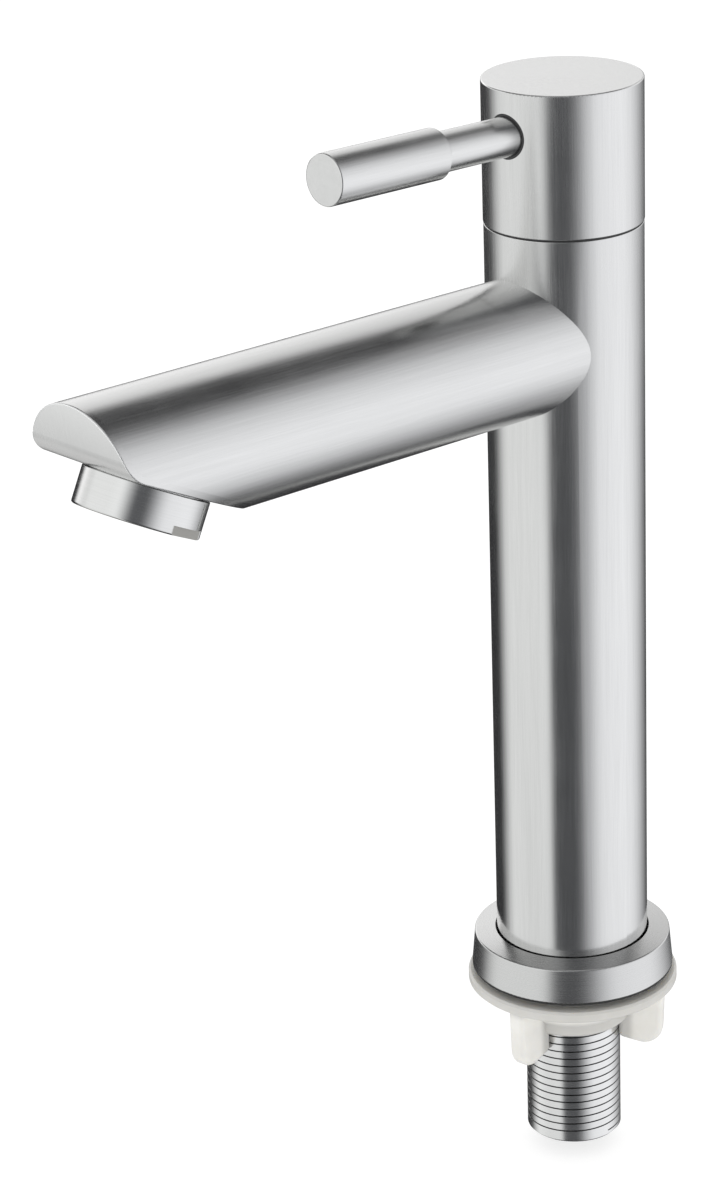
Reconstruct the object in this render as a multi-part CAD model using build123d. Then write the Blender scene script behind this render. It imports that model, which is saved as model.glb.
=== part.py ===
from build123d import *
import os
from math import sin, cos, tan, pi, radians, degrees, hypot, acos

# Single-lever cold water basin tap: a brushed stainless column with a round
# welded spout, a quarter-turn ceramic headwork inside the column, a turning
# cap with a thin radial lever, and a G 1/2 tail with a plastic wing backnut.
# Millimetres. Origin: centre of the base flange's underside (the deck plane).
# +Z up, the spout and the lever point to -Y, X is the left-right axis.

os.makedirs("parts", exist_ok=True)

# ---------------------------------------------------------------- dimensions
# column
COL_R = 16.6            # tube outer radius
COL_RI = 14.6           # tube inner radius
COL_Z0 = 3.0            # lower end, stands on the foot plug's lip
COL_Z1 = 170.5          # upper end, below the turning cap
# turning cap
CAP_R = 16.7
CAP_RI = 14.8
CAP_Z0 = 170.9
CAP_Z1 = 200.8
CAP_TOP = 3.0           # thickness of the closed top
CAP_HOLE_R = 4.7        # hole for the lever neck and its bush
# base flange (escutcheon ring)
FL_R0 = 22.2            # radius at the deck
FL_R1 = 21.5            # radius at the top rim
FL_Z1 = 8.05            # height of the top rim
FL_ZI = 8.8             # height beside the column
SEAL_Z = 0.4            # seal ring under the rim
# spout
SP_Z = 145.8            # height of the spout axis on the column axis
SP_RISE = 1.73          # degrees, upward towards the outlet
SP_R = 14.7
SP_RI = 13.2
TIP_S = 132.9           # reach of the top of the front face along the axis
TIP_UNDER = 12.2        # degrees, the front face leans back going down
CUT_S = 92.6            # where the underside cut leaves the tube's lowest line
CUT_A = 24.6            # degrees, underside cut against the spout axis
TIP_RAD = 7.3           # bend between the front face and the underside
PLATE_T = 1.5
# outlet
OUT_ALONG = 24.0        # outlet centre, up the cut from its lower end
BOSS_R = 10.95          # M22 x 1 male thread
BOSS_RI = 9.4
BOSS_L = 5.0            # below the cut face
AER_R = 12.7
AER_T0 = 0.3            # gap between the aerator and the cut face
AER_T1 = 7.9            # lower rim
AER_BORE = 11.03
# lever
LV_Z = 190.9            # height of the lever axis on the column axis
LV_RISE = 1.94          # degrees
LV_REACH = 66.4
LV_STEP = 36.5          # start of the grip
GRIP_R = 5.3
NECK_R = 4.15
# G 1/2 tail
G_R = 20.955 / 2        # major radius
G_PITCH = 1.814
G_ROOT = 18.631 / 2     # minor radius
GROOVE_A = 3.8          # flank angle of the drawn groove
TAIL_Z = -40.7
TAIL_BORE = 7.25
TAIL_TOP = 3.0
# backnut
NUT_R = 23.1
NUT_BORE = 10.56
NUT_Z0 = -1.5
NUT_RIM = -4.05
NUT_HUB_R = 12.6
NUT_HUB_Z = -13.1
WING_T = 4.0
WING_A = (-84.4, 35.6, 155.6)


# ------------------------------------------------------------------- helpers
def cyl(r, z0, z1):
    return Pos(0, 0, z0) * Cylinder(r, z1 - z0, align=(Align.CENTER, Align.CENTER, Align.MIN))


def ring(ro, ri, z0, z1):
    return cyl(ro, z0, z1) - cyl(ri, z0 - 1, z1 + 1)


def rev(pts):
    # closed (radius, z) outline turned about Z
    f = make_face(Polyline(*[(r, 0, z) for r, z in pts], close=True))
    return revolve(f, Axis.Z, 360)


def box(x0, x1, y0, y1, z0, z1):
    return Pos((x0 + x1) / 2, (y0 + y1) / 2, (z0 + z1) / 2) * Box(x1 - x0, y1 - y0, z1 - z0)


def sector(ro, ri, a0, a1, z0, z1):
    # annular sector from angle a0 to a1, degrees from +X
    am = (a0 + a1) / 2
    p = lambda r, a: (r * cos(radians(a)), r * sin(radians(a)), z0)
    w = [Line(p(ri, a0), p(ro, a0)), ThreePointArc(p(ro, a0), p(ro, am), p(ro, a1)),
         Line(p(ro, a1), p(ri, a1)), ThreePointArc(p(ri, a1), p(ri, am), p(ri, a0))]
    return extrude(make_face(w), amount=z1 - z0, dir=(0, 0, 1))


def o_ring(rc, r, z):
    return Pos(0, 0, z) * Torus(rc, r)


def rim_edges(shape, z, r, tol=0.02):
    return [e for e in shape.edges().filter_by(GeomType.CIRCLE)
            if abs(e.center().Z - z) < tol and abs(e.radius - r) < tol]


def save(shape, name, colour):
    s = shape
    if isinstance(s, (list, ShapeList)):
        s = Compound(children=list(s))
    sol = s.solids()
    s = sol[0] if len(sol) == 1 else Compound(children=list(sol))
    s.label = name
    s.color = Color(*colour)
    export_step(s, "parts/%s.step" % name)
    NODES[name] = s


NODES = {}
STEEL = (0.72, 0.72, 0.72)
BRASS = (0.78, 0.62, 0.30)
RUBBER = (0.08, 0.08, 0.08)
IVORY = (0.93, 0.92, 0.87)
CERAMIC = (0.95, 0.95, 0.93)

# ------------------------------------------------- base flange and column foot
flange = rev([(FL_R0, SEAL_Z), (FL_R1, FL_Z1), (16.98, FL_ZI), (16.98, 6.2), (16.7, 5.9),
              (16.7, COL_Z0), (18.9, COL_Z0), (18.9, 0), (20.9, 0), (20.9, SEAL_Z)])
flange = fillet(rim_edges(flange, FL_Z1, FL_R1), 0.4)
flange = fillet(rim_edges(flange, SEAL_Z, FL_R0), 0.15)
save(flange, "base_flange", STEEL)
# thin black seal ring in the rebate under the rim, seen as a dark line
save(ring(22.15, 20.95, 0, SEAL_Z), "rim_seal", RUBBER)

save(ring(18.7, 10.6, 0, 1.0), "base_gasket", RUBBER)

plug = rev([(G_R, 1.0), (18.7, 1.0), (18.7, COL_Z0), (COL_RI, COL_Z0), (COL_RI, 11.0),
            (6.0, 11.0), (6.0, 8.0), (5.0, 8.0), (5.0, TAIL_TOP), (G_R, TAIL_TOP)])
save(plug, "column_foot_plug", STEEL)

# ------------------------------------------------------------ the threaded tail
tail = rev([(TAIL_BORE, TAIL_Z), (10.1, TAIL_Z), (G_R, TAIL_Z + 0.4), (G_R, TAIL_TOP),
            (TAIL_BORE, TAIL_TOP)])
# right-hand thread, drawn as a narrow groove of full depth between smooth crests
th_z0, th_z1 = TAIL_Z + 1.3, -0.6
helix = Helix(pitch=G_PITCH, height=th_z1 - th_z0, radius=G_R, center=(0, 0, th_z0))
deep = G_R - G_ROOT
over = 0.35
root_w = 0.08
wide = root_w + (deep + over) * tan(radians(GROOVE_A))
start = Plane(origin=helix @ 0, x_dir=(1, 0, 0), z_dir=helix % 0)
vee = start * make_face(Polyline((-deep, -root_w), (over, -wide), (over, wide), (-deep, root_w), close=True))
groove = sweep(vee, path=helix, is_frenet=True)
tail = tail - groove
save(tail, "threaded_shank", STEEL)

# ------------------------------------------------------------------- the column
SP = Plane(origin=(0, 0, SP_Z), x_dir=(1, 0, 0),
           z_dir=(0, -cos(radians(SP_RISE)), sin(radians(SP_RISE))))
column = ring(COL_R, COL_RI, COL_Z0, COL_Z1)
column = fillet(rim_edges(column, COL_Z1, COL_R), 0.15)
column = column - SP * cyl(SP_RI, 0, 40)
save(column, "column_tube", STEEL)


# -------------------------------------------------------------------- the spout
# Side outline of the spout's end in the spout's own frame: s runs along the
# axis, u is up. The front face leans back, bends with TIP_RAD into the flat
# underside cut. depth moves the outline inward by that much.
def tip_region(depth):
    fe, fc = radians(TIP_UNDER), radians(CUT_A)
    d1, n1 = (-sin(fe), -cos(fe)), (-cos(fe), sin(fe))
    d2, n2 = (-cos(fc), -sin(fc)), (-sin(fc), cos(fc))
    a = (TIP_S + depth * n1[0], SP_R + depth * n1[1])
    b = (CUT_S + depth * n2[0], -SP_R + depth * n2[1])
    det = d1[0] * (-d2[1]) - (-d2[0]) * d1[1]
    rx, ry = b[0] - a[0], b[1] - a[1]
    k = (rx * (-d2[1]) - (-d2[0]) * ry) / det
    q = (a[0] + k * d1[0], a[1] + k * d1[1])
    ang = acos(d1[0] * d2[0] + d1[1] * d2[1])
    r = TIP_RAD - depth
    tl = r * tan(ang / 2)
    p1 = (q[0] - d1[0] * tl, q[1] - d1[1] * tl)
    p2 = (q[0] + d2[0] * tl, q[1] + d2[1] * tl)
    c = (p1[0] + n1[0] * r, p1[1] + n1[1] * r)
    m = hypot(q[0] - c[0], q[1] - c[1])
    pm = (c[0] + (q[0] - c[0]) / m * r, c[1] + (q[1] - c[1]) / m * r)
    p0 = (a[0] - d1[0] * 30, a[1] - d1[1] * 30)
    p3 = (b[0] + d2[0] * 30, b[1] + d2[1] * 30)
    v = lambda p: (0, p[1], p[0])
    w = [Line(v(p0), v(p1)), ThreePointArc(v(p1), v(pm), v(p2)), Line(v(p2), v(p3)),
         Line(v(p3), v((-40, p3[1]))), Line(v((-40, p3[1])), v((-40, p0[1]))),
         Line(v((-40, p0[1])), v(p0))]
    return extrude(make_face(w), amount=30, both=True)


keep_out = tip_region(0)
keep_in = tip_region(PLATE_T)

tube = ring(SP_R, SP_RI, 0, 160) & keep_in
tube = SP * tube
tube = tube - cyl(COL_R, 100, 200)
save(tube, "spout_tube", STEEL)

# the outlet axis leaves the cut face squarely
OUT = (CUT_S + OUT_ALONG * cos(radians(CUT_A)), -SP_R + OUT_ALONG * sin(radians(CUT_A)))
out_plane = Plane(origin=(0, OUT[1], OUT[0]), x_dir=(1, 0, 0),
                  z_dir=(0, -cos(radians(CUT_A)), sin(radians(CUT_A))))

plate = (cyl(SP_R, 60, 160) & keep_out) - keep_in
# a fine break along the outer rim of the closed end
rim = []
for e in plate.edges():
    pts = [e @ t for t in (0.1, 0.5, 0.9)]
    if all(abs(hypot(p.X, p.Y) - SP_R) < 0.01 for p in pts):
        if min(keep_in.distance_to(Vertex(p.X, p.Y, p.Z)) for p in pts) > PLATE_T * 0.9:
            rim.append(e)
plate = fillet(rim, 0.3)
plate = plate - out_plane * cyl(11.0, -8, 8)
save(SP * plate, "spout_end_plate", STEEL)

boss = ring(11.0, BOSS_RI, -4.0, 0.0) + ring(BOSS_R, BOSS_RI, 0.0, BOSS_L)
boss = (out_plane * boss)
save(SP * boss, "outlet_boss", STEEL)

# ------------------------------------------------------------------ the aerator
AE = lambda s: SP * (out_plane * s)
gasket = ring(10.9, 9.35, BOSS_L + 0.05, BOSS_L + 0.95)
save(AE(gasket), "aerator_gasket", RUBBER)

housing = rev([(AER_BORE, AER_T0), (AER_R, AER_T0), (AER_R, AER_T1), (9.9, AER_T1),
               (9.9, 6.6), (AER_BORE, 6.6)])
housing = fillet(rim_edges(housing, AER_T1, AER_R), 0.45)
housing = fillet(rim_edges(housing, AER_T0, AER_R), 0.2)
# two spanner flats at the lower rim
for a in (-14, 166):
    housing = housing - Rot(0, 0, a) * box(AER_R - 1.0, AER_R + 2, -5.9, 5.9, AER_T1 - 1.9, AER_T1 + 1)
save(AE(housing), "aerator_housing", STEEL)

insert = rev([(0.0, 2.2), (9.2, 2.2), (9.2, BOSS_L + 1.0), (10.95, BOSS_L + 1.0), (10.95, 6.6),
              (9.8, 6.6), (9.8, 7.5), (8.9, 7.5), (8.9, 3.2), (0.0, 3.2)])
for n, rr in ((1, 0.0), (6, 2.6), (12, 5.0), (18, 7.3)):
    for i in range(n):
        a = 2 * pi * i / n
        insert = insert - Pos(rr * cos(a), rr * sin(a), 2.7) * Cylinder(0.55, 2)
save(AE(insert), "aerator_insert", IVORY)

screen = cyl(8.9, 6.9, 7.3)
cut = []
for ring_i in range(0, 9):
    n = 1 if ring_i == 0 else 6 * ring_i
    rr = ring_i * 0.98
    if rr + 0.4 > 8.5:
        break
    for i in range(n):
        a = 2 * pi * i / n
        cut.append(Pos(rr * cos(a), rr * sin(a), 7.1) * Cylinder(0.36, 1))
screen = screen - cut
save(AE(screen), "aerator_screen", STEEL)

# ----------------------------------------------------- water way in the column
SEAT_Z = 122.0
save(ring(6.0, 5.0, 8.0, 118.0), "supply_riser", STEEL)

seat = rev([(6.0, 112.0), (14.55, 112.0), (14.55, 115.8), (12.95, 115.8), (12.95, 118.2),
            (14.55, 118.2), (14.55, 128.0), (9.5, 128.0), (9.5, SEAT_Z), (5.0, SEAT_Z),
            (5.0, 118.0), (6.0, 118.0)])
save(seat, "valve_seat_body", BRASS)
save(o_ring(13.78, 0.82, 117.0), "seat_body_o_ring", RUBBER)

# headwork: housing with two side windows, closed above by the spindle bearing
hw = rev([(9.5, SEAT_Z), (9.5, 152.0), (14.55, 152.0), (14.55, 153.3), (12.95, 153.3),
          (12.95, 155.7), (14.55, 155.7), (14.55, 157.0), (11.2, 157.0), (11.2, 161.5),
          (9.7, 161.5), (9.7, 160.0), (6.0, 160.0), (6.0, 140.0), (8.1, 140.0), (8.1, SEAT_Z)])
hw = hw - box(-5, 5, -12, 12, 131.5, 137.5)
# stop ledge for the quarter turn, open over the tab's sweep
hw = hw + sector(9.7, 7.0, 15, 255, 160.0, 161.5)
save(hw, "headwork_housing", BRASS)
save(o_ring(13.78, 0.82, 154.5), "headwork_o_ring", RUBBER)

save(ring(8.05, 5.0, SEAT_Z, 125.0), "seat_seal", RUBBER)

fixed = cyl(8.05, 125.0, 128.0)
for a in (0, 180):
    fixed = fixed - sector(6.4, 1.8, a - 42, a + 42, 124.0, 129.0)
save(fixed, "fixed_disc", CERAMIC)

disc = cyl(7.95, 128.05, 131.05)
for a in (90, 270):
    disc = disc - sector(6.4, 1.8, a - 42, a + 42, 127.0, 132.0)
for sx in (1, -1):
    disc = disc - box(min(sx * 6.45, sx * 9), max(sx * 6.45, sx * 9), -1.55, 1.55, 129.7, 132)
save(disc, "moving_disc", CERAMIC)

# spindle: driver bar, thrust collar, stem, stop seat, circlip groove, spline
driver = (box(-9, 9, -2.5, 2.5, 131.1, 134.0) & cyl(7.7, 131.1, 134.0))
lugs = (box(6.5, 9, -1.5, 1.5, 129.8, 131.1) + box(-9, -6.5, -1.5, 1.5, 129.8, 131.1)) & cyl(7.7, 129.8, 131.1)
stem = rev([(0, 134.0), (4.4, 134.0), (4.4, 137.6), (7.7, 138.0), (7.7, 139.8), (5.92, 139.8),
            (5.92, 145.1), (4.45, 145.1), (4.45, 146.9), (5.92, 146.9), (5.92, 150.1),
            (4.45, 150.1), (4.45, 151.9), (5.92, 151.9), (5.92, 160.1), (4.6, 160.1),
            (4.6, 161.4), (3.4, 161.4), (3.4, 162.4), (4.2, 162.4), (4.2, 163.5), (0, 163.5)])
flats = box(-6, 6, 3.6, 6, 160.1, 161.4) + box(-6, 6, -6, -3.6, 160.1, 161.4)
stem = stem - flats
star = []
for i in range(40):
    rr = 4.0 if i % 2 == 0 else 3.6
    star.append((rr * cos(pi * i / 20), rr * sin(pi * i / 20), 163.5))
spline = extrude(make_face(Polyline(*star, close=True)), amount=194.0 - 163.5, dir=(0, 0, 1))
spindle = driver + lugs + stem + spline
save(spindle, "spindle", BRASS)
save([o_ring(5.2, 0.75, 146.0), o_ring(5.2, 0.75, 151.0)], "spindle_o_rings", RUBBER)

stop = cyl(6.6, 160.1, 161.4) + sector(9.4, 6.0, -104, -76, 160.1, 161.4)
stop = stop - (cyl(4.6, 159, 163) & box(-6, 6, -3.6, 3.6, 159, 163))
save(stop, "spindle_stop_washer", STEEL)
clip = ring(6.4, 3.4, 161.4, 162.4) - box(-1.5, 1.5, 0, 8, 161, 163)
save(clip, "spindle_circlip", STEEL)

# ring nut that holds the headwork down, and the cap's glide ring on its boss
rn = rev([(11.2, 157.0), (14.55, 157.0), (14.55, COL_Z1), (13.8, COL_Z1), (13.8, 171.2),
          (12.9, 171.2), (12.9, 176.4), (11.2, 176.4)])
for a in (0, 90):
    rn = rn - Rot(0, 0, a) * box(-20, 20, -1.5, 1.5, 174.9, 178.0)
save(rn, "retaining_nut", BRASS)
# its black lip fills the seam between column and cap
glide = rev([(12.95, 171.2), (13.85, 171.2), (13.85, 170.55), (16.4, 170.55), (16.4, 170.85),
             (14.73, 170.85), (14.73, 174.6), (12.95, 174.6)])
save(glide, "glide_ring", RUBBER)

# -------------------------------------------------------------------- the handle
cap = cyl(CAP_R, CAP_Z0, CAP_Z1) - cyl(CAP_RI, CAP_Z0 - 1, CAP_Z1 - CAP_TOP)
cap = fillet(rim_edges(cap, CAP_Z1, CAP_R), 0.35)
cap = fillet(rim_edges(cap, CAP_Z0, CAP_R), 0.15)
LV = Plane(origin=(0, 0, LV_Z), x_dir=(1, 0, 0),
           z_dir=(0, -cos(radians(LV_RISE)), sin(radians(LV_RISE))))
cap = cap - LV * cyl(CAP_HOLE_R, 8, 30)
save(cap, "handle_cap", STEEL)
# black bush round the lever neck, flush with the cap
bush = LV * ring(4.65, 4.2, 12, 20)
bush = bush & (cyl(CAP_R - 0.05, 180, 200) - cyl(CAP_RI + 0.05, 179, 201))
save(bush, "lever_bush", RUBBER)

hub = cyl(CAP_RI, 184.0, CAP_Z1 - CAP_TOP)
hub = hub - LV * cyl(3.0, 2.0, 30)
hub = hub - cyl(4.2, 180, 184.5) - spindle
save(hub, "handle_hub", BRASS)

# lever: M6 stud into the hub, neck through the cap, core inside the grip
rod = cyl(3.0, 4.15, 15.1) + cyl(NECK_R, 15.1, LV_STEP) + cyl(2.5, LV_STEP, 60.0)
rod = LV * rod
save(rod, "lever_rod", STEEL)
grip = cyl(GRIP_R, LV_STEP, LV_REACH) - cyl(2.5, LV_STEP - 1, 60.0)
grip = fillet(rim_edges(grip, LV_REACH, GRIP_R), 0.35)
grip = chamfer(rim_edges(grip, LV_STEP, GRIP_R), 0.45)
save(LV * grip, "lever_grip", STEEL)

# -------------------------------------------------------------------- the backnut
save(ring(18.6, 10.7, -1.45, -0.25), "clamp_washer", IVORY)

nut = rev([(NUT_BORE, NUT_Z0), (22.65, NUT_Z0), (NUT_R, NUT_Z0 - 0.5), (NUT_R, NUT_RIM + 0.5),
           (22.55, NUT_RIM), (20.9, NUT_RIM - 0.35), (14.0, NUT_RIM - 4.75), (NUT_HUB_R, NUT_RIM - 6.4),
           (NUT_HUB_R, NUT_HUB_Z + 0.7), (NUT_HUB_R - 0.7, NUT_HUB_Z), (NUT_BORE, NUT_HUB_Z)])
wf = make_face(Polyline((10.3, 0, -5.0), (20.7, 0, -4.0), (20.0, 0, -20.3), (10.3, 0, -17.9), close=True))
wf = fillet([v for v in wf.vertices() if v.Z < -20.0], 4.2)
wf = fillet([v for v in wf.vertices() if abs(v.X - 10.3) < 0.01 and v.Z < -17], 1.6)
wing = extrude(wf, amount=WING_T / 2, both=True)
edge = [e for e in wing.edges() if abs(abs(e.center().Y) - WING_T / 2) < 1e-3 and e.center().Z < -5.2]
wing = fillet(edge, 1.3)
for a in WING_A:
    nut = nut + Rot(0, 0, a) * wing
nut = nut - cyl(NUT_BORE, -30, 5)
save(nut, "wing_nut", IVORY)

for n, s in NODES.items():
    print("%-22s solids %d  volume %.1f" % (n, len(s.solids()), s.volume))
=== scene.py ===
import bpy, math
from mathutils import Matrix, Vector


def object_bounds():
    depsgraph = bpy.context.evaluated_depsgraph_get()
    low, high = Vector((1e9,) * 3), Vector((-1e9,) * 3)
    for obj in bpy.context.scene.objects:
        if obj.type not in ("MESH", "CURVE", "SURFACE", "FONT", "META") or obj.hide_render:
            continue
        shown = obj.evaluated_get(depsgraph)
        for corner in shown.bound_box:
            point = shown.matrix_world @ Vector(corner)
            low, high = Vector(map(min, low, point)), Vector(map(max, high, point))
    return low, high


# Cold water basin tap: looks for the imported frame. Metres, +Z up the column,
# -Y from the column towards the outlet.

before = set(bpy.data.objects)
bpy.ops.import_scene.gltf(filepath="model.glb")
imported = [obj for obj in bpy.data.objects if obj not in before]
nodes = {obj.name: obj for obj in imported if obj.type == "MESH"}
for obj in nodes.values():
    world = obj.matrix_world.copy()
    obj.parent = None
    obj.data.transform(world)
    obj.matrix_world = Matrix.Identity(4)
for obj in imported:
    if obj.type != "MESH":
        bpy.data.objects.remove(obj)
size_start = [list(v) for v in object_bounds()]
scene = bpy.context.scene

# ---------------------------------------------------------------- camera
YAW, PITCH, ROLL = math.radians(47.437), math.radians(-21.910), math.radians(-1.950)
fwd = Vector((-math.sin(YAW) * math.cos(PITCH), math.cos(YAW) * math.cos(PITCH), math.sin(PITCH)))
level = Vector((math.cos(YAW), math.sin(YAW), 0.0))
up0 = level.cross(fwd)
right = math.cos(ROLL) * level + math.sin(ROLL) * up0
up = -math.sin(ROLL) * level + math.cos(ROLL) * up0
cam_data = bpy.data.cameras.new("camera")
cam = bpy.data.objects.new("camera", cam_data)
scene.collection.objects.link(cam)
cam.matrix_world = Matrix((
    (right.x, up.x, -fwd.x, 0.53111),
    (right.y, up.y, -fwd.y, -0.54998),
    (right.z, up.z, -fwd.z, 0.39465),
    (0.0, 0.0, 0.0, 1.0)))
cam_data.sensor_width = 36.0
cam_data.lens = 115.372
cam_data.clip_start = 0.01
cam_data.clip_end = 50.0
scene.camera = cam
scene.view_settings.view_transform = "Standard"


# ---------------------------------------------------------------- node helpers
class Net:
    """Short calls for shader nodes. Sockets or plain numbers go in, sockets come out."""

    def __init__(self, tree):
        self.t = tree
        self.n = tree.nodes
        self.n.clear()

    def node(self, kind, **props):
        made = self.n.new(kind)
        for k, v in props.items():
            setattr(made, k, v)
        return made

    def put(self, socket, value):
        if isinstance(value, bpy.types.NodeSocket):
            self.t.links.new(value, socket)
        elif value is not None:
            socket.default_value = value

    def math(self, op, a, b=None, c=None, clamp=False):
        m = self.node("ShaderNodeMath", operation=op, use_clamp=clamp)
        for s, v in zip(m.inputs, (a, b, c)):
            self.put(s, v)
        return m.outputs[0]

    def add(self, *terms):
        total = terms[0]
        for t in terms[1:]:
            total = self.math("ADD", total, t)
        return total

    def mul(self, *terms):
        total = terms[0]
        for t in terms[1:]:
            total = self.math("MULTIPLY", total, t)
        return total

    def vec(self, op, a, b=None, scale=None):
        m = self.node("ShaderNodeVectorMath", operation=op)
        self.put(m.inputs[0], a)
        if b is not None:
            self.put(m.inputs[1], b)
        if scale is not None:
            self.put(m.inputs["Scale"], scale)
        return m.outputs["Value"] if op in ("DOT_PRODUCT", "LENGTH", "DISTANCE") else m.outputs["Vector"]

    def xyz(self, v):
        s = self.node("ShaderNodeSeparateXYZ")
        self.put(s.inputs[0], v)
        return s.outputs

    def join(self, x, y, z):
        s = self.node("ShaderNodeCombineXYZ")
        for i, v in zip(s.inputs, (x, y, z)):
            self.put(i, v)
        return s.outputs[0]

    def ramp(self, v, lo, hi, a=0.0, b=1.0):
        """Smooth step of v from lo to hi, giving a to b."""
        m = self.node("ShaderNodeMapRange", interpolation_type="SMOOTHSTEP")
        for s, x in zip(m.inputs, (v, lo, hi, a, b)):
            self.put(s, x)
        return m.outputs[0]

    def lin(self, v, lo, hi, a, b):
        m = self.node("ShaderNodeMapRange", interpolation_type="LINEAR", clamp=True)
        for s, x in zip(m.inputs, (v, lo, hi, a, b)):
            self.put(s, x)
        return m.outputs[0]

    def noise(self, v, scale=1.0, detail=2.0, rough=0.5, distort=0.0):
        m = self.node("ShaderNodeTexNoise", noise_dimensions="3D")
        self.put(m.inputs["Vector"], v)
        m.inputs["Scale"].default_value = scale
        m.inputs["Detail"].default_value = detail
        m.inputs["Roughness"].default_value = rough
        m.inputs["Distortion"].default_value = distort
        return m.outputs[0]

    def mix(self, f, a, b):
        m = self.node("ShaderNodeMix", data_type="RGBA")
        self.put(m.inputs[0], f)
        self.put(m.inputs[6], a)
        self.put(m.inputs[7], b)
        return m.outputs[2]


# ---------------------------------------------------------------- studio
# The steel mirrors the studio, so the world is laid out as soft boxes by bearing and
# height: bearing 0 is the camera's side, positive to its right.
FRONT = math.radians(44.0)          # the camera's bearing, from -Y towards +X
world = bpy.data.worlds.new("studio")
scene.world = world
world.use_nodes = True
world.cycles.sampling_method = "NONE"
W = Net(world.node_tree)
direction = W.vec("NORMALIZE", W.node("ShaderNodeTexCoord").outputs["Generated"])
toward = W.vec("DOT_PRODUCT", direction, (math.sin(FRONT), -math.cos(FRONT), 0.0))
aside = W.vec("DOT_PRODUCT", direction, (math.cos(FRONT), math.sin(FRONT), 0.0))
DEG = 180.0 / math.pi
bearing = W.mul(W.math("ARCTAN2", aside, toward), DEG)
rear = W.mul(W.math("ARCTAN2", aside, W.mul(toward, -1.0)), DEG)      # 0 straight behind the object
rear_side = rear
rear = W.math("ABSOLUTE", rear)
height = W.mul(W.math("ARCSINE", W.xyz(direction)[2]), DEG)

key = W.mul(W.ramp(bearing, W.lin(height, 0.0, 20.0, 5.0, 12.0), W.lin(height, 0.0, 20.0, 54.0, 62.0)),
            W.lin(bearing, 45.0, 85.0, 0.92, 1.0), W.ramp(bearing, 92.0, 171.0, 1.0, 0.0),
            W.ramp(height, -62.0, -20.0, 0.42, 1.0), W.ramp(height, -62.0, -45.0), W.ramp(height, -10.0, 92.0, 1.0, 0.0))
side_end = W.add(W.lin(height, -26.0, -15.0, -22.5, -15.5), W.lin(height, -2.0, 20.0, 0.0, 16.5))
side_round = W.lin(bearing, -95.0, -70.0, 0.0, 1.0)      # 0 where the spout's end is lit from, 1 where the column is
side_foot = W.lin(side_round, 0.0, 1.0, -22.0, 0.0)
side = W.mul(W.ramp(bearing, W.lin(height, -2.0, 20.0, -33.0, -38.0), side_end, 1.0, 0.0),
             W.ramp(bearing, -132.0, -95.0), W.ramp(height, 25.0, 55.0, 1.0, 0.2),
             W.ramp(height, W.add(side_foot, -56.0), W.add(side_foot, -40.0), 0.12, 1.0),
             W.add(1.0, W.mul(side_round, W.lin(height, -42.0, -22.0, -0.32, 0.0))), W.lin(height, -5.0, 15.0, 1.0, 1.13))
low = W.mul(W.ramp(bearing, -127.0, -106.0, 1.0, 0.0), W.ramp(bearing, -178.0, -158.0),
            W.ramp(height, -40.0, -30.0, 1.0, 0.0), W.ramp(height, -58.0, -46.0))
back_end = W.lin(rear_side, -45.0, -22.0, 14.0, 38.0)
back = W.mul(W.ramp(rear, 45.0, 80.0, 1.0, 0.0), W.lin(rear_side, -34.0, 22.0, 1.46, 0.64), W.ramp(height, -7.0, 2.0),
             W.ramp(height, back_end, W.add(back_end, 7.0), 1.0, 0.0))
dim = W.mul(W.ramp(W.math("ABSOLUTE", bearing), 25.0, 60.0, 1.0, 0.0), W.ramp(height, 0.0, 14.0, 1.0, 1.7))
top = W.ramp(height, 56.0, 74.0)
# a dark flag high behind the object gives the dark band along the tops of spout and lever
FLAG = (math.radians(44.0 + 146.0), math.radians(54.0))
flag_at = (math.sin(FLAG[0]) * math.cos(FLAG[1]), -math.cos(FLAG[0]) * math.cos(FLAG[1]), math.sin(FLAG[1]))
from_flag = W.mul(W.math("ARCCOSINE", W.vec("DOT_PRODUCT", direction, flag_at)), DEG)
flag = W.ramp(from_flag, 8.0, 47.0, 0.02, 1.0)
fill = W.ramp(from_flag, 14.0, 40.0, 0.02, 0.0)


def lamp(amount, colour):
    return W.vec("SCALE", colour, scale=amount)


light = lamp(W.mul(key, flag), (1.17, 1.18, 1.205))
light = W.vec("ADD", light, lamp(side, (0.97, 0.98, 0.975)))
light = W.vec("ADD", light, lamp(low, (0.74, 0.74, 0.735)))
light = W.vec("ADD", light, lamp(back, (1.06, 1.06, 1.06)))
light = W.vec("ADD", light, lamp(dim, (0.055, 0.057, 0.06)))
light = W.vec("ADD", light, lamp(top, (0.35, 0.35, 0.35)))
light = W.vec("ADD", light, lamp(fill, (1.0, 1.0, 1.0)))
light = W.vec("ADD", light, (0.04, 0.04, 0.042))
path = W.node("ShaderNodeLightPath")
seen = W.node("ShaderNodeBackground")
W.put(seen.inputs["Color"], light)
soft = W.node("ShaderNodeBackground")
soft.inputs["Color"].default_value = (1.0, 1.0, 1.0, 1.0)
soft.inputs["Strength"].default_value = 1.0
pick = W.node("ShaderNodeMixShader")
W.put(pick.inputs[0], W.math("MAXIMUM", path.outputs["Is Camera Ray"], path.outputs["Is Diffuse Ray"]))
W.t.links.new(seen.outputs[0], pick.inputs[1])
W.t.links.new(soft.outputs[0], pick.inputs[2])
out = W.node("ShaderNodeOutputWorld")
W.t.links.new(pick.outputs[0], out.inputs["Surface"])

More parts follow.
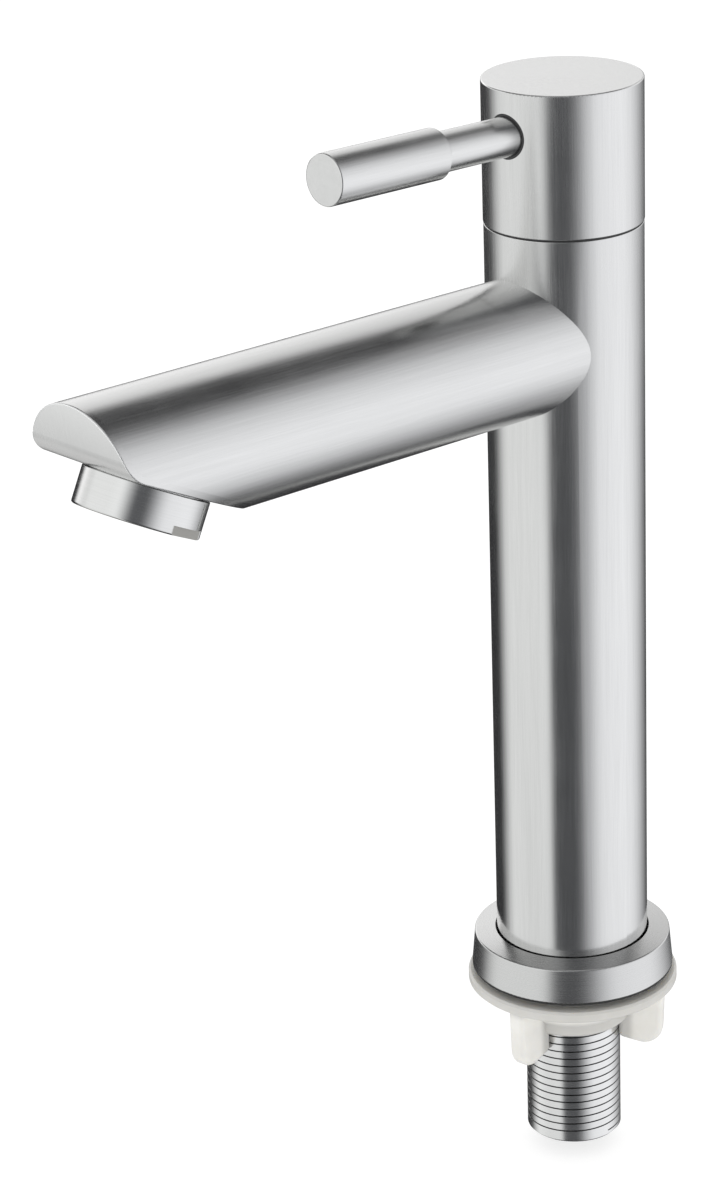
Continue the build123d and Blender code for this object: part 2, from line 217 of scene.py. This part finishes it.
# pale floor, just clear of the backnut's wings at the lowest end of its travel
floor_z = size_start[0][2] - 0.0045
floor_mesh = bpy.data.meshes.new("floor")
E = 6.0
floor_mesh.from_pydata([(-E, -E, floor_z), (E, -E, floor_z), (E, E, floor_z), (-E, E, floor_z)], [], [(0, 1, 2, 3)])
floor = bpy.data.objects.new("floor", floor_mesh)
scene.collection.objects.link(floor)
floor.visible_glossy = False
fm = bpy.data.materials.new("floor_pale")
fm.use_nodes = True
F = Net(fm.node_tree)
fd = F.node("ShaderNodeBsdfDiffuse")
fd.inputs["Color"].default_value = (0.36, 0.36, 0.36, 1.0)
fe = F.node("ShaderNodeEmission")
fe.inputs["Color"].default_value = (1.0, 1.0, 1.0, 1.0)
fe.inputs["Strength"].default_value = 0.74
fa = F.node("ShaderNodeAddShader")
F.t.links.new(fd.outputs[0], fa.inputs[0])
F.t.links.new(fe.outputs[0], fa.inputs[1])
ft = F.node("ShaderNodeBsdfTransparent")
fx = F.node("ShaderNodeMixShader")
F.put(fx.inputs[0], F.node("ShaderNodeNewGeometry").outputs["Backfacing"])
F.t.links.new(fa.outputs[0], fx.inputs[1])
F.t.links.new(ft.outputs[0], fx.inputs[2])
fo = F.node("ShaderNodeOutputMaterial")
F.t.links.new(fx.outputs[0], fo.inputs["Surface"])
floor_mesh.materials.append(fm)


# ---------------------------------------------------------------- materials
def principled(net, **values):
    b = net.node("ShaderNodeBsdfPrincipled")
    for k, v in values.items():
        net.put(b.inputs[k.replace("_", " ")], v)
    o = net.node("ShaderNodeOutputMaterial")
    net.t.links.new(b.outputs[0], o.inputs["Surface"])
    return b


def material(name):
    m = bpy.data.materials.new(name)
    m.use_nodes = True
    return m, Net(m.node_tree)


def bump(net, height, strength, distance):
    b = net.node("ShaderNodeBump")
    net.put(b.inputs["Height"], height)
    b.inputs["Strength"].default_value = strength
    b.inputs["Distance"].default_value = distance
    return b.outputs[0]


def grain_space(net, tilt, origin=None):
    """Object coordinates in millimetres, turned so that the brushing runs along Z.
    origin: a point in metres on the piece's own axis, where that isn't the column's."""
    co = net.node("ShaderNodeTexCoord").outputs["Object"]
    if origin:
        co = net.vec("SUBTRACT", co, origin)
    m = net.node("ShaderNodeMapping")
    net.put(m.inputs["Vector"], co)
    m.inputs["Rotation"].default_value = (tilt, 0.0, 0.0)
    m.inputs["Scale"].default_value = (1000.0, 1000.0, 1000.0)
    return m.outputs[0]


def brushed(name, tilt=0.0, tangent="Z", colour=(0.66, 0.66, 0.655), rough=0.17, aniso=0.35,
            lines=0.14, length=14.0, tone=0.04, depth=0.06, dull=None):
    """Satin steel brushed along one axis: long fine lines in tone, roughness and relief.
    dull = (from mm, to mm, extra roughness at the end) along the brushing."""
    m, n = material(name)
    p = grain_space(n, tilt)
    s = n.xyz(p)
    fine = n.noise(n.join(n.mul(s[0], 1 / lines), n.mul(s[1], 1 / lines), n.mul(s[2], 1 / length)), detail=3.0, rough=0.6)
    wide = n.noise(n.join(n.mul(s[0], 0.9), n.mul(s[1], 0.9), n.mul(s[2], 0.02)), detail=2.0)
    cloud = n.noise(p, scale=0.06, detail=2.0)
    shade = n.add(n.lin(fine, 0.3, 0.7, -tone, tone), n.lin(wide, 0.3, 0.7, -0.018, 0.018),
                  n.lin(cloud, 0.3, 0.7, -0.012, 0.012), 1.0)
    r = n.add(rough, n.lin(fine, 0.3, 0.7, -0.035, 0.035), n.lin(cloud, 0.3, 0.7, -0.02, 0.02))
    if dull:
        r = n.add(r, n.lin(s[2], dull[0], dull[1], 0.0, dull[2]))
    t = n.node("ShaderNodeTangent", direction_type="RADIAL", axis=tangent)
    b = principled(n, Base_Color=n.vec("SCALE", colour, scale=shade), Metallic=1.0, Roughness=r,
                   Anisotropic=aniso, Normal=bump(n, fine, depth, 0.00004))
    n.t.links.new(t.outputs[0], b.inputs["Tangent"])
    return m


def end_plate(name, axis_at, axis_tilt, face_tilt, radius):
    """The welded end of the spout: its cut faces are brushed across, and the narrow band on the
    tube's own surface carries on the tube's brushing. axis_at: a point on the tube's axis, metres."""
    m, n = material(name)
    p, q = grain_space(n, face_tilt), grain_space(n, axis_tilt, axis_at)
    s, a = n.xyz(p), n.xyz(q)
    out_at = n.math("SQRT", n.add(n.mul(a[0], a[0]), n.mul(a[1], a[1])))
    band = n.ramp(out_at, radius - 0.07, radius - 0.01)
    rest = n.math("SUBTRACT", 1.0, band)
    painted_edge_highlight = n.mul(n.ramp(out_at, radius - 0.36, radius - 0.26), rest)      # painted highlight: a near-white band along the face's edge stands for the bright line on its rounding; it is also rougher
    fine_face = n.noise(n.join(n.mul(s[0], 1 / 0.12), n.mul(s[1], 1 / 0.12), n.mul(s[2], 1 / 8.0)), detail=3.0, rough=0.6)
    fine_band = n.noise(n.join(n.mul(a[0], 1 / 0.14), n.mul(a[1], 1 / 0.14), n.mul(a[2], 1 / 14.0)), detail=3.0, rough=0.6)
    fine = n.add(n.mul(fine_face, rest), n.mul(fine_band, band))
    cloud = n.noise(p, scale=0.06, detail=2.0)
    shade = n.add(n.lin(fine, 0.3, 0.7, -0.04, 0.04), n.lin(cloud, 0.3, 0.7, -0.012, 0.012), 1.0)
    face_only = n.mul(rest, n.math("SUBTRACT", 1.0, painted_edge_highlight))
    shade = n.mul(shade, n.add(1.0, n.mul(face_only, n.lin(s[2], 177.0, 188.5, -0.13, 0.15))))      # painted light and shade: the face's colour is lighter towards its top and darker towards its bottom
    r = n.add(0.24, n.mul(band, -0.025), n.mul(painted_edge_highlight, 0.3), n.lin(fine, 0.3, 0.7, -0.035, 0.035), n.lin(cloud, 0.3, 0.7, -0.02, 0.02))
    t = n.node("ShaderNodeTangent", direction_type="RADIAL", axis="Y")
    # painted highlight: the edge band gets a near-white base colour
    base = n.mix(painted_edge_highlight, n.mix(band, (0.745, 0.745, 0.74, 1.0), (0.64, 0.64, 0.635, 1.0)), (0.95, 0.95, 0.95, 1.0))
    b = principled(n, Base_Color=n.vec("SCALE", base, scale=shade),
                   Metallic=1.0, Roughness=r, Anisotropic=0.35, Normal=bump(n, fine, 0.06, 0.00004))
    n.t.links.new(t.outputs[0], b.inputs["Tangent"])
    return m


def turned(name, colour=(0.64, 0.64, 0.635), rough=0.28, pitch=0.16, tone=0.04, depth=0.08, tilt=0.0, origin=None,
           milled=None):
    """Steel finished on a lathe: fine rings about Z. milled = (from mm, to mm along Z, radius mm):
    what lies inside that radius there is a dull, warmer milled face."""
    m, n = material(name)
    p = grain_space(n, tilt, origin)
    s = n.xyz(p)
    radius = n.math("SQRT", n.add(n.mul(s[0], s[0]), n.mul(s[1], s[1])))
    ring = n.noise(n.join(n.mul(radius, 1 / pitch), n.mul(s[2], 1 / pitch), n.mul(s[0], 0.03)), detail=2.0, rough=0.55)
    cloud = n.noise(p, scale=0.12, detail=2.0)
    shade = n.add(n.lin(ring, 0.3, 0.7, -tone, tone), n.lin(cloud, 0.3, 0.7, -0.015, 0.015), 1.0)
    r = n.add(rough, n.lin(ring, 0.3, 0.7, -0.03, 0.03), n.lin(cloud, 0.3, 0.7, -0.02, 0.02))
    base = n.vec("SCALE", colour, scale=shade)
    if milled:
        cut = n.mul(n.ramp(s[2], milled[0] - 0.03, milled[0] + 0.03), n.ramp(s[2], milled[1] - 0.03, milled[1] + 0.03, 1.0, 0.0),
                    n.ramp(radius, milled[2] - 0.03, milled[2] + 0.03, 1.0, 0.0))
        base = n.mix(cut, base, n.vec("SCALE", (0.375, 0.368, 0.345), scale=shade))
        r = n.add(r, n.mul(cut, 0.2))
    principled(n, Base_Color=base, Metallic=1.0, Roughness=r, Normal=bump(n, ring, depth, 0.00004))
    return m


def plastic(name, colour, deep, rough=0.42, subsurface=0.0, mottling=0.05, nut=False):
    """Moulded plastic: faint flow clouding, a fine mould texture, a little light carried inside.
    nut: painted shade darkens the backnut's hub and cone below its wings and rim, and painted light lifts the hub's
    top just under the rim."""
    m, n = material(name)
    p = grain_space(n, 0.0)
    flow = n.noise(p, scale=0.22, detail=3.0, distort=0.6)
    fine = n.noise(p, scale=3.2, detail=3.0)
    c = n.mix(n.lin(flow, 0.3, 0.7, 0.0, 1.0), (*colour, 1.0), (*deep, 1.0))
    if nut:
        s = n.xyz(p)
        radius = n.math("SQRT", n.add(n.mul(s[0], s[0]), n.mul(s[1], s[1])))
        upper = n.ramp(s[2], -7.0, -4.6)
        unshaded_wings_rim = n.add(n.mul(n.ramp(radius, 12.6, 14.4), n.math("SUBTRACT", 1.0, upper)),
                     n.mul(upper, n.ramp(radius, 19.0, 22.8), 0.1))
        hub_top_painted_light = n.mul(n.ramp(s[2], -11.2, -8.6), n.ramp(s[2], -6.0, -4.8, 1.0, 0.0), n.ramp(radius, 12.4, 12.9, 1.0, 0.55))
        # painted shade: hub and cone kept at 0.73 of the colour, wings and rim at full; painted light on the hub's top
        c = n.vec("SCALE", c, scale=n.add(0.73, n.mul(unshaded_wings_rim, 0.27), n.mul(hub_top_painted_light, 0.09)))
    r = n.add(rough, n.lin(fine, 0.3, 0.7, -mottling, mottling))
    b = principled(n, Base_Color=c, Roughness=r, Normal=bump(n, n.add(fine, n.mul(flow, 2.0)), 0.12, 0.00006))
    if subsurface:
        b.inputs["Subsurface Weight"].default_value = subsurface
        b.inputs["Subsurface Radius"].default_value = (1.0, 0.9, 0.7)
        b.inputs["Subsurface Scale"].default_value = 0.004
    return m


def rubber(name):
    m, n = material(name)
    p = grain_space(n, 0.0)
    bloom = n.noise(p, scale=0.7, detail=4.0)
    grit = n.noise(p, scale=9.0, detail=2.0)
    c = n.mix(n.lin(bloom, 0.35, 0.7, 0.0, 1.0), (0.018, 0.018, 0.019, 1.0), (0.035, 0.035, 0.034, 1.0))
    principled(n, Base_Color=c, Roughness=n.add(0.68, n.lin(bloom, 0.3, 0.7, -0.08, 0.08)),
               Normal=bump(n, grit, 0.25, 0.00005))
    return m


def ceramic(name):
    m, n = material(name)
    p = grain_space(n, 0.0)
    fleck = n.noise(p, scale=6.0, detail=4.0)
    c = n.mix(n.lin(fleck, 0.35, 0.65, 0.0, 1.0), (0.86, 0.85, 0.82, 1.0), (0.92, 0.91, 0.89, 1.0))
    principled(n, Base_Color=c, Roughness=n.add(0.16, n.lin(fleck, 0.3, 0.7, -0.03, 0.05)),
               Normal=bump(n, fleck, 0.05, 0.00002))
    return m


SPOUT = math.radians(1.73)
LEVER = math.radians(1.94)
AXIS_A = math.radians(26.33)
OUTLET = (0.0, -0.114512, 0.144547)     # where the outlet's axis leaves the spout
SPOUT_Z, SPOUT_R = 0.1458, 14.7         # the spout's axis on the column (m), its radius (mm)
# Rotating by these about X lays the part's own axis along Z of the grain.
steel_column = brushed("steel_column", dull=(90.0, 160.0, 0.08))
steel_cap = brushed("steel_cap", aniso=0.0, rough=0.25)
steel_spout = brushed("steel_spout", tilt=math.radians(90) + SPOUT, tangent="Y", rough=0.215, colour=(0.64, 0.64, 0.635))
steel_lever = brushed("steel_lever", tilt=math.radians(90) + LEVER, tangent="Y", lines=0.10, length=9.0, rough=0.235)
steel_plate = end_plate("steel_plate", (0.0, 0.0, SPOUT_Z), math.radians(90) + SPOUT, math.radians(-12.2), SPOUT_R)
steel_flange = turned("steel_flange", tone=0.03, depth=0.04, rough=0.26, colour=(0.605, 0.605, 0.60))
steel_aerator = turned("steel_aerator", tilt=AXIS_A, origin=OUTLET, rough=0.17, tone=0.03,
                       colour=(0.655, 0.655, 0.65), milled=(-7.86, -6.02, 12.6))
steel_shank = turned("steel_shank", colour=(0.74, 0.74, 0.735), rough=0.20, pitch=0.12, tone=0.03)
steel_inner = turned("steel_inner", rough=0.33, pitch=0.2, tone=0.06)
brass = turned("brass_turned", colour=(0.72, 0.53, 0.24), rough=0.30, pitch=0.2, tone=0.06)
ivory = plastic("ivory_plastic", (0.80, 0.79, 0.76), (0.76, 0.75, 0.715), subsurface=0.2, nut=True)
white = plastic("white_plastic", (0.84, 0.84, 0.82), (0.78, 0.78, 0.76), rough=0.38)
# black plastic for the lever bush; on the glide ring it is painted shade for the seam under the cap
black_plastic = plastic("black_plastic", (0.030, 0.030, 0.031), (0.020, 0.020, 0.021), rough=0.45)
black = rubber("black_rubber")
disc = ceramic("lapped_ceramic")

LOOK = {
    "column_tube": steel_column, "handle_cap": steel_cap,
    "spout_tube": steel_spout, "spout_end_plate": steel_plate,
    "lever_rod": steel_lever, "lever_grip": steel_lever,
    "base_flange": steel_flange, "aerator_housing": steel_aerator,
    "threaded_shank": steel_shank,
    "column_foot_plug": steel_inner, "outlet_boss": steel_inner, "aerator_screen": steel_inner,
    "supply_riser": steel_inner, "spindle_stop_washer": steel_inner, "spindle_circlip": steel_inner,
    "valve_seat_body": brass, "headwork_housing": brass, "spindle": brass,
    "retaining_nut": brass, "handle_hub": brass,
    "rim_seal": black, "base_gasket": black, "aerator_gasket": black, "seat_body_o_ring": black,
    "headwork_o_ring": black, "seat_seal": black, "spindle_o_rings": black,
    # glide_ring is black so the seam between cap and column shows as a dark line: painted shade
    "aerator_insert": white, "glide_ring": black_plastic, "lever_bush": black_plastic,
    "clamp_washer": ivory, "wing_nut": ivory,
    "fixed_disc": disc, "moving_disc": disc,
}
for name, obj in nodes.items():
    obj.data.materials.clear()
    obj.data.materials.append(LOOK[name])
# the spout's dark band runs on unbroken under the lever, so the lever isn't mirrored,
# and neither is the brass behind it
for name in ("lever_rod", "lever_grip", "handle_hub", "spindle", "headwork_housing", "retaining_nut"):
    nodes[name].visible_glossy = False
